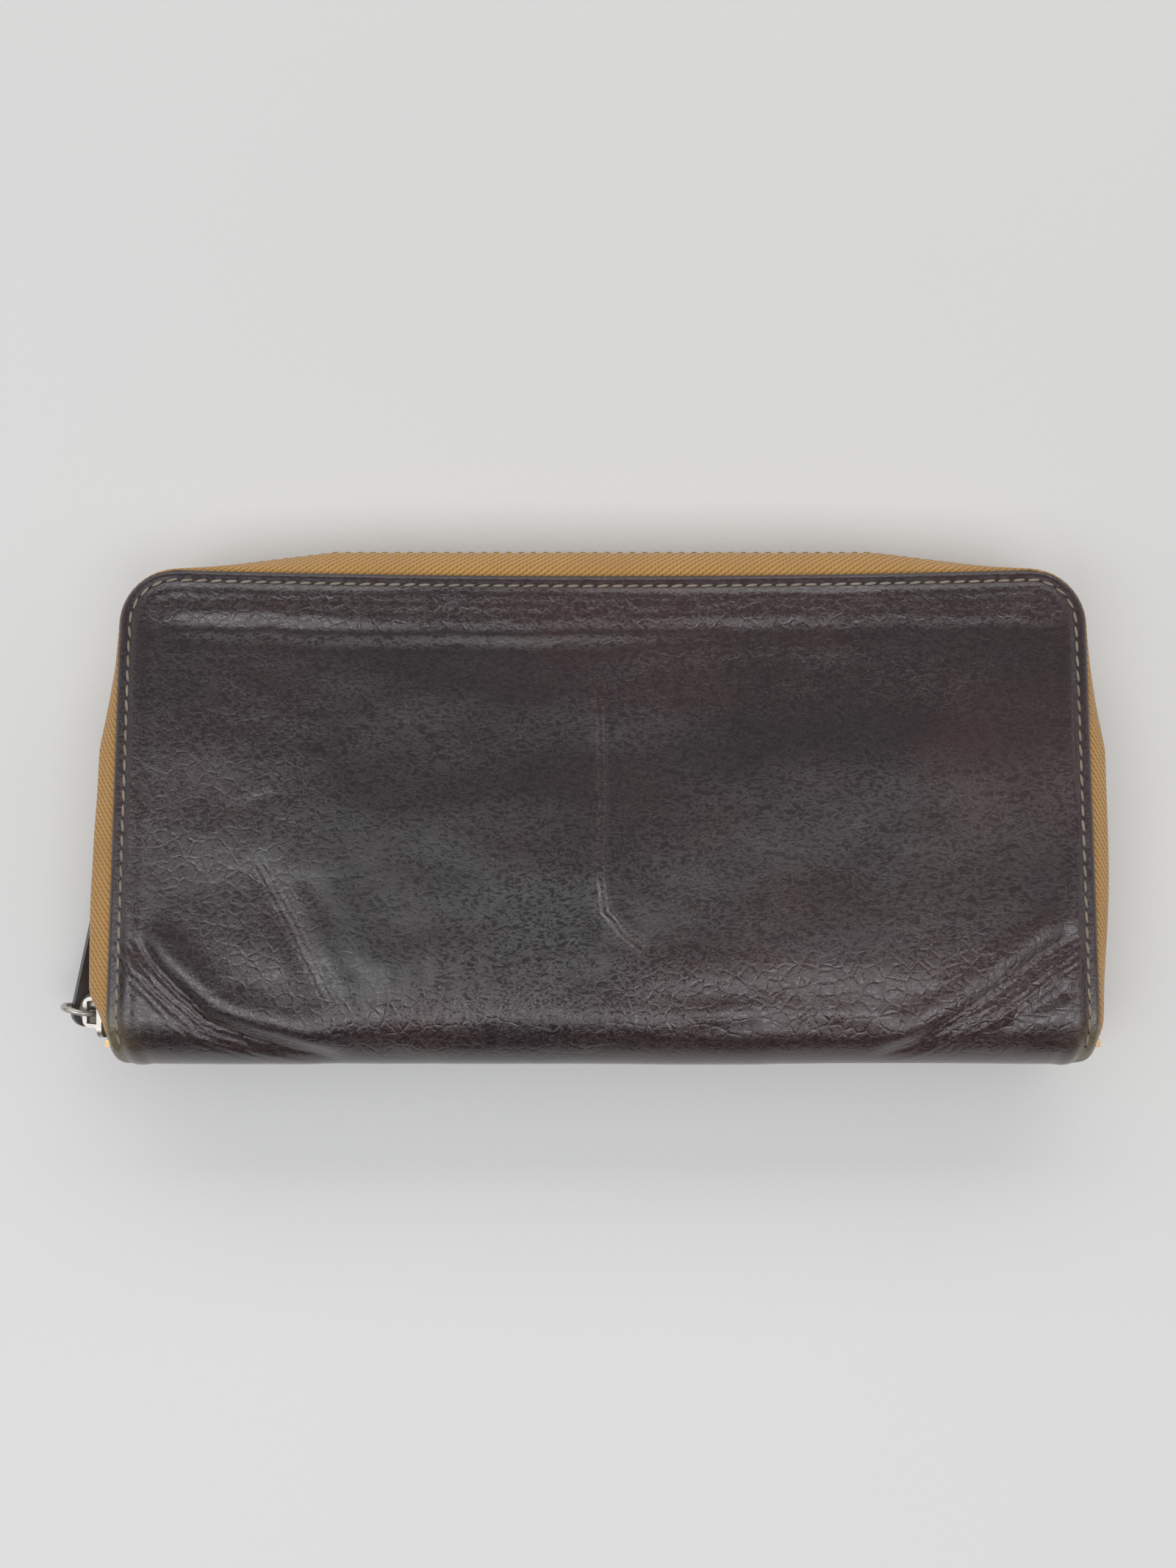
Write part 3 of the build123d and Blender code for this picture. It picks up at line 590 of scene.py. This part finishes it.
def wrapped_sheet(columns, rows, inset, outer, inner, relief):
    """One sheet that runs from the back's zip edge round the spine to the front's zip edge."""
    bm = bmesh.new()
    bmesh.ops.create_grid(bm, x_segments=columns, y_segments=rows, size=1)
    wear = bm.verts.layers.float.new("wear")
    crackle = bm.verts.layers.float.new("crackle")
    grime = bm.verts.layers.float.new("grime")
    crease = bm.verts.layers.float.new("crease")
    creased = bm.verts.layers.float.new("creased")
    for vert in bm.verts:
        run = run_at((vert.co.y + 1) / 2, inset)
        y, z, out = wrap(run, outer)
        side = 2 * clustered((vert.co.x + 1) / 2, 0.35) - 1
        x = side * half_width_at(y, inset)
        rise = relief(x, y, run)
        front = soft_step(FLAT_RUN + 0.5 * ROUND_RUN, FLAT_RUN + ROUND_RUN, run)
        vert.co = (x, y + rise * out[0] - front * top_dip(x, y), z + rise * out[1])
        vert[wear] = worn_amount(x, y)
        vert[crackle] = crackle_amount(x, y) * front + 0.15 * (1 - front)
        vert[grime] = grime_amount(x, y)
        vert[crease], strength = creases_near(x, y)
        vert[creased] = strength * front
    bmesh.ops.recalc_face_normals(bm, faces=bm.faces)
    upper = [face for face in bm.faces if face.calc_center_median().z > THICK * 0.9]
    if sum(face.normal.z for face in upper) < 0:
        bmesh.ops.reverse_faces(bm, faces=bm.faces)
    bmesh.ops.solidify(bm, geom=list(bm.faces), thickness=inner - outer)
    return bm


def worn_amount(x, y):
    """Where hands and pockets have rubbed the leather: edges, corners and spine ends."""
    edge = edge_distance(x, y) / MM
    amount = 0.5 * bell(edge, 2.0)
    amount += 0.9 * bell(math.hypot(abs(x) - HALF_WIDTH, y + ZIP_SIDE) / MM, 10.0)
    amount += 0.45 * bell((y + ZIP_SIDE) / MM, 4.0)
    amount += 0.35 * soft_step(36 * MM, 41 * MM, y)
    amount += 0.5 * soft_step(0.0, 1.0, noise.noise(Vector((x / MM / 17, y / MM / 12, 4.0))))
    return min(max(amount, 0.0), 1.0)


def grime_amount(x, y):
    """Paler, greenish rubbed leather round the two spine corners."""
    corner = math.hypot(abs(x) - HALF_WIDTH + 0.5 * MM, y + 45 * MM) / MM
    along_edge = bell(edge_distance(x, y) / MM - 1.4, 1.3) * (1 - soft_step(-44 * MM, -30 * MM, y))
    return min((0.8 if x < 0 else 0.6) * bell(corner, 4.5) + 0.5 * along_edge, 1.0)


def cover_relief(x, y, run):
    """Relief of the cover: worn in front and round the spine, pressed flat at the back."""
    front = soft_step(FLAT_RUN + 0.35 * ROUND_RUN, FLAT_RUN + 0.75 * ROUND_RUN, run)
    if run < FLAT_RUN:
        edge = edge_distance(x, y) / MM
        rub = 0.06 * noise.noise(Vector((x / MM / 12, y / MM / 10, 3.0))) - 0.06
        return (rub - 0.35 * max(0.0, 1 - edge / 0.9) ** 2 - 0.15 * bell(edge - 2.1, 0.6)) * MM
    edge = (HALF_WIDTH - abs(x)) / MM
    roll = -0.35 * max(0.0, 1 - edge / 0.9) ** 2 * MM
    return roll * (1 - front) + leather_relief(x, y) * front


def lining_relief(x, y, run):
    """Slight unevenness of the lining."""
    return -0.04 * MM * (1 + noise.noise(Vector((x / MM / 15, run / MM / 12, 5.0))))


def make_cover():
    """Cover leather, one piece round the spine, with a painted cut edge."""
    bm = wrapped_sheet(204, 232, 0.0, 0.0, LEATHER - 0.05 * MM, cover_relief)
    cover = new_piece("leather_cover", bm)
    cover.data.materials.append(cover_leather)
    cover.data.materials.append(edge_paint)
    for face in cover.data.polygons:
        x, y, z = face.center
        depth = min(z, THICK - z) if y > BEND_Y else MID - math.hypot(y - BEND_Y, z - MID)
        edge = edge_distance(x, y)
        if edge < 0.12 * MM or (edge < 0.5 * MM and depth > 0.3 * MM):
            face.material_index = 1
    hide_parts("back_cover", "front_cover")
    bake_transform(cover)
    return cover


def make_lining():
    """Lining, one piece round the inside of the spine."""
    bm = wrapped_sheet(60, 110, 0.6 * MM, LINING_OUT, LINING_IN - 0.04 * MM, lining_relief)
    lining = new_piece("leather_lining", bm)
    lining.data.materials.append(lining_leather)
    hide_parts("back_lining", "front_lining")
    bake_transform(lining)
    return lining


# ---------------------------------------------------------------- stitching
def stitch_line(inset, low_y):
    """The line round three sides: a function from a distance to a place, and its length."""
    side = HALF_WIDTH - inset
    bend = CORNER - inset
    upright = CORNER_Y - low_y
    arc = bend * math.pi / 2
    level = 2 * CORNER_X

    def round_corner(middle, angle):
        """Place and heading at an angle round a corner."""
        x = middle + bend * math.cos(angle)
        return x, CORNER_Y + bend * math.sin(angle), angle - math.pi / 2

    def place(run):
        """Place and heading at a distance along the line."""
        if run < upright:
            return -side, low_y + run, math.pi / 2
        run -= upright
        if run < arc:
            return round_corner(-CORNER_X, math.pi - run / bend)
        run -= arc
        if run < level:
            return -CORNER_X + run, ZIP_SIDE - inset, 0.0
        run -= level
        if run < arc:
            return round_corner(CORNER_X, math.pi / 2 - run / bend)
        run -= arc
        return side, CORNER_Y - run, -math.pi / 2

    return place, 2 * upright + 2 * arc + level


def surface_at(x, y, front):
    """Height and slope along Y of a cover's surface, from the flat to round the spine."""
    if y >= BEND_Y:
        z = THICK if front else 0.0
        tilt = 0.0
    else:
        angle = math.asin(min((BEND_Y - y) / MID, 1.0))
        z = MID + MID * math.cos(angle) * (1 if front else -1)
        tilt = angle if front else -angle
    rise = leather_relief(x, y) if front else -0.34 * MM
    return z + (rise if front else -rise), tilt, (top_dip(x, y) if front else 0.0)


def make_stitching(front):
    """Row of stitches, each dipping into its needle holes, with dark discs of painted shade for the
    holes between them.
    """
    name = "front" if front else "back"
    up = 1 if front else -1
    place, length = stitch_line(STITCH_INSET, BEND_Y - 7.5 * MM)
    total = int(length / STITCH_PITCH)
    step = length / total
    bm = bmesh.new()
    for number in range(total):
        x, y, heading = place((number + 0.5) * step)
        z, tilt, dip = surface_at(x, y, front)
        y -= dip
        wobble = 0.05 * math.sin(number * 2.4)
        at = Matrix.Translation((x, y, z + up * 0.10 * MM)) @ Matrix.Rotation(tilt, 4, "X")
        at = at @ Matrix.Rotation(heading + 0.10 * up + wobble, 4, "Z")
        at = at @ Matrix.Diagonal((1.22 * MM, 0.31 * MM, 0.25 * MM, 1))
        at = at @ Matrix.Rotation(math.pi / 2, 4, "Y")
        bmesh.ops.create_uvsphere(bm, u_segments=8, v_segments=6, radius=1, matrix=at)
    thread_faces = len(bm.faces)
    # Needle holes: flat dark discs on the surface, painted shade for the holes.
    for number in range(total + 1):
        x, y, heading = place(min(number * step, length - 1e-6))
        z, tilt, dip = surface_at(x, y, front)
        y -= dip
        at = Matrix.Translation((x, y, z + up * 0.03 * MM)) @ Matrix.Rotation(tilt, 4, "X")
        at = at @ Matrix.Rotation(heading + 0.5, 4, "Z")
        at = at @ Matrix.Diagonal((0.42 * MM, 0.26 * MM, 0.07 * MM, 1))
        bmesh.ops.create_uvsphere(bm, u_segments=8, v_segments=4, radius=1, matrix=at)
    stitching = new_piece(f"{name}_stitching", bm)
    stitching.data.materials.append(tan_thread)
    stitching.data.materials.append(needle_hole_shade)
    for face in stitching.data.polygons:
        if face.index >= thread_faces:
            face.material_index = 1
    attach(stitching, name)
    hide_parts(f"{name}_topstitch")
    return stitching


# ---------------------------------------------------------------- zip tape
def bulge_at(x, y):
    """How far the zip stands outside the cover's edge, at a place on the edge."""
    if abs(x) > CORNER_X and y > CORNER_Y:
        return BULGE_CORNER
    if y > ZIP_SIDE - 0.5 * MM:
        share = min(max((CORNER_X - abs(x)) / (CORNER_X - BULGE_ZIP_X), 0.0), 1.0)
        return BULGE_CORNER + (BULGE_ZIP - BULGE_CORNER) * share
    if y > BULGE_SIDE_Y:
        share = (CORNER_Y - y) / (CORNER_Y - BULGE_SIDE_Y)
        return BULGE_CORNER + (BULGE_SIDE - BULGE_CORNER) * share
    share = (BULGE_SIDE_Y - y) / (BULGE_SIDE_Y - TAPE_END)
    return BULGE_SIDE + (BULGE_SPINE - BULGE_SIDE) * share


def fullness_at(x, y, front):
    """How much fuller the tape is at its knee than at the teeth; it tucks in at its ends."""
    up = y / MM
    if y > ZIP_SIDE - 0.5 * MM:
        return -0.25 * MM
    if x < 0:
        full = 2.9 * (1 - soft_step(-28, 38, up)) * (1 - soft_step(34, 42, -up))
    else:
        full = 1.3 * (1 - soft_step(-10, 36, up)) * (1 - soft_step(14, 38, -up))
    if not front:
        full *= 0.3
    tuck = -2.0 * (1 - soft_step(-47, -41, up))
    return (full + tuck) * MM


def tape_profile(bulge, fullness):
    """Points across the back tape, outwards from the cover's edge and up, with round bends."""
    knee = max(bulge + fullness, 0.1 * MM)
    corners = [(-5.6 * MM, SEAM), (min(LIP, knee), SEAM), (knee, KNEE - 1.0 * MM),
               (bulge, KNEE + 2.0 * MM), (bulge, MID - TAPE_EDGE)]
    points = [corners[0]]
    for before, corner, after in zip(corners, corners[1:], corners[2:]):
        middle = Vector(corner)
        to_before = (Vector(before) - middle).normalized() * 1.1 * MM
        to_after = (Vector(after) - middle).normalized() * 1.1 * MM
        for number in range(5):
            share = number / 4
            first = middle + to_before * (1 - share)
            second = middle + to_after * share
            points.append(tuple(first * (1 - share) + second * share))
    points.append(corners[-1])
    lengths = [0.0]
    for a, b in zip(points, points[1:]):
        lengths.append(lengths[-1] + math.dist(a, b))
    return points, lengths


def point_on(points, lengths, share):
    """Point at a share of a bent line's length."""
    target = share * lengths[-1]
    for number in range(len(points) - 1):
        if target <= lengths[number + 1] or number == len(points) - 2:
            part = (target - lengths[number]) / (lengths[number + 1] - lengths[number])
            part = min(max(part, 0.0), 1.0)
            a, b = points[number], points[number + 1]
            return a[0] + (b[0] - a[0]) * part, a[1] + (b[1] - a[1]) * part
    return points[-1]


def make_tape(front):
    """Woven tape that comes out between cover and lining, turns up, and carries one row of teeth."""
    name = "front" if front else "back"
    place, length = stitch_line(0.0, TAPE_END)
    columns, rows = 300, 26
    width = tape_profile(BULGE_ZIP, 0)[1][-1]
    bm = bmesh.new()
    bmesh.ops.create_grid(bm, x_segments=columns, y_segments=rows, size=1, calc_uvs=True)
    uv = bm.loops.layers.uv.new("weave")
    for face in bm.faces:
        for loop in face.loops:
            loop[uv].uv = ((loop.vert.co.x + 1) / 2 * length, (loop.vert.co.y + 1) / 2 * width)
    for vert in bm.verts:
        run = (vert.co.x + 1) / 2 * length
        share = (vert.co.y + 1) / 2
        x, y, heading = place(min(max(run, 0.0), length - 1e-7))
        tucked = 0.3 + 0.7 * soft_step(-47 * MM, -45.2 * MM, y)
        points, lengths = tape_profile(bulge_at(x, y) * tucked, fullness_at(x, y, front))
        out, z = point_on(points, lengths, share)
        if y < BEND_Y:
            inside = MID - LEATHER
            floor = MID - math.sqrt(max(inside ** 2 - (BEND_Y - y) ** 2, 0.0)) + 0.3 * MM
            top = MID - TAPE_EDGE
            z = max(z, floor + (z - SEAM) * (top - floor) / (top - SEAM))
        wave = 0.10 * MM * noise.noise(Vector((run / MM / 9, share * 2, 1.0 if front else 6.0)))
        out += wave * math.sin(math.pi * share)
        normal = (-math.sin(heading), math.cos(heading))
        z = THICK - z if front else z
        vert.co = (x + normal[0] * out, y + normal[1] * out, z)
    bmesh.ops.recalc_face_normals(bm, faces=bm.faces)
    outside = [face for face in bm.faces if face.calc_center_median().y > ZIP_SIDE + 3 * MM]
    if sum(face.normal.y for face in outside) < 0:
        bmesh.ops.reverse_faces(bm, faces=bm.faces)
    tape = new_piece(f"{name}_tape", bm)
    solid = tape.modifiers.new("thickness", "SOLIDIFY")
    solid.thickness = 0.5 * MM
    solid.offset = 0
    tape.data.materials.append(tape_weave)
    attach(tape, name)
    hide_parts(f"{name}_zip_tape")
    return tape


# ---------------------------------------------------------------- gussets
def make_gusset(side, front):
    """Folded gusset between a card panel and the coin pocket, in the CAD gusset's place."""
    name = f"{'front' if front else 'back'}_gusset_{side}"
    low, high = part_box(name)
    hand = -1 if side == "left" else 1
    outer = max(abs(low[0]), abs(high[0]))
    fold = min(abs(low[0]), abs(high[0]))
    bm = bmesh.new()
    bmesh.ops.create_grid(bm, x_segments=24, y_segments=24, size=1)
    for vert in bm.verts:
        across = vert.co.x
        depth = 1 - abs(across) ** 1.3
        x = hand * (outer - (outer - fold) * depth)
        margin = 0.3 * MM
        z = (low[2] + high[2]) / 2 + across * ((high[2] - low[2]) / 2 - margin)
        y = low[1] + (vert.co.y + 1) / 2 * (high[1] - low[1])
        vert.co = (x, y, z)
    gusset = new_piece(f"{name}_leather", bm)
    solid = gusset.modifiers.new("thickness", "SOLIDIFY")
    solid.thickness = 0.45 * MM
    solid.offset = 0
    gusset.data.materials.append(lining_leather)
    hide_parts(name)
    if front:
        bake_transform(gusset)
    else:
        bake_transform(gusset)
    return gusset


# ---------------------------------------------------------------- CAD nodes that keep their shape
def dress(names, material, round_edge=0.0):
    """Give kept nodes their material, and a small rounded edge."""
    for name in names:
        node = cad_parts[name]
        node.data.materials.clear()
        node.data.materials.append(material)
        if round_edge:
            edge = node.modifiers.new("edge", "BEVEL")
            edge.width = round_edge
            edge.segments = 2
            edge.limit_method = "ANGLE"
            edge.angle_limit = math.radians(35)


make_cover()
make_lining()
for is_front in (False, True):
    make_stitching(is_front)
    make_tape(is_front)
    for hand_side in ("left", "right"):
        make_gusset(hand_side, is_front)

node_names = list(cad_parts)
dress([n for n in node_names if n.endswith("_board")], board_fibre)
dress([n for n in node_names if "card_slot" in n], pocket_leather, 0.12 * MM)
dress(["coin_panel_back", "coin_panel_front", "coin_pocket_edge"], pocket_leather, 0.12 * MM)
dress(["coin_zip_tape_back", "coin_zip_tape_front"], coin_tape_cloth)
dress([n for n in node_names if "zip_teeth" in n], brass, 0.10 * MM)
dress([n for n in node_names if "stop" in n], brass, 0.12 * MM)
dress(["coin_slider", "coin_pull"], brass, 0.2 * MM)
dress(["slider_body"], nickel, 0.3 * MM)
dress(["slider_bridge", "pull_eyelet"], nickel, 0.12 * MM)
dress(["pull_ring"], nickel)
dress(["pull_tab_outer", "pull_tab_inner"], tab_leather, 0.2 * MM)


# ---------------------------------------------------------------- table, light and camera
def make_table():
    """Pale cloth-covered table top."""
    bm = bmesh.new()
    bmesh.ops.create_grid(bm, x_segments=2, y_segments=2, size=3.0)
    table = new_piece("table", bm)
    material, nodes, links, shader = new_material("table_cloth")
    vector = object_coordinates(nodes, links)
    weave = noise_at(nodes, links, vector, 700, 4)
    cloud = noise_at(nodes, links, vector, 3, 2)
    base = mix_colour(nodes, links, cloud, (0.735, 0.73, 0.715), (0.785, 0.78, 0.765))
    links.new(base, shader.inputs["Base Color"])
    shader.inputs["Roughness"].default_value = 0.9
    links.new(bump(nodes, links, weave, 0.25, 0.0003), shader.inputs["Normal"])
    table.data.materials.append(material)


def add_light(name, place, aim, size, power, colour=(1, 1, 1)):
    """Soft rectangular light that faces a point."""
    data = bpy.data.lights.new(name, "AREA")
    data.shape = "RECTANGLE"
    data.size, data.size_y = size
    data.energy = power
    data.color = colour
    light = bpy.data.objects.new(name, data)
    light.location = place
    light.rotation_euler = (Vector(aim) - Vector(place)).to_track_quat("-Z", "Y").to_euler()
    bpy.context.scene.collection.objects.link(light)


make_table()
LIGHT_HEIGHT = 0.55
# Softboxes over the table: x range, y range, brightness, colour.
SOFTBOXES = [
    ((-0.50, -0.12), (-0.42, -0.06), 3.3, (0.96, 0.98, 1.0)),
    ((0.03, 0.42), (-0.42, -0.11), 3.3, (0.97, 0.98, 1.0)),
    ((-1.0, 1.0), (0.62, 1.50), 2.6, (1.0, 1.0, 0.99)),
    ((-0.7, 0.7), (-0.05, 0.45), 0.22, (0.98, 0.98, 1.0)),
    ((-1.2, -0.55), (-0.5, 0.5), 1.0, (0.96, 0.98, 1.0)),
    ((0.6, 1.2), (-0.5, 0.5), 1.1, (1.0, 0.99, 0.97)),
]
for number, (across_range, depth_range, bright, tint) in enumerate(SOFTBOXES):
    size = (across_range[1] - across_range[0], depth_range[1] - depth_range[0])
    middle = (sum(across_range) / 2, sum(depth_range) / 2, LIGHT_HEIGHT)
    add_light(f"softbox_{number}", middle, (middle[0], middle[1], 0), size,
              bright * math.pi * size[0] * size[1], tint)
world = bpy.data.worlds.new("room")
world.use_nodes = True
world.node_tree.nodes["Background"].inputs["Color"].default_value = (0.90, 0.92, 0.95, 1)
world.node_tree.nodes["Background"].inputs["Strength"].default_value = 0.17
bpy.context.scene.world = world
bpy.context.scene.view_settings.view_transform = "Standard"

FILM_WIDTH = 36.0
LENS = 36.045
CAMERA_PLACE = (-3.0 * MM, -13.4 * MM, 257.8 * MM)
CAMERA_TILT = 4.85
camera_data = bpy.data.cameras.new("camera")
camera_data.sensor_fit = "HORIZONTAL"
camera_data.sensor_width = FILM_WIDTH
camera_data.lens = LENS
camera_data.clip_start = 0.01
camera = bpy.data.objects.new("camera", camera_data)
camera.location = CAMERA_PLACE
camera.rotation_euler = (math.radians(CAMERA_TILT), 0, 0)
bpy.context.scene.collection.objects.link(camera)
bpy.context.scene.camera = camera
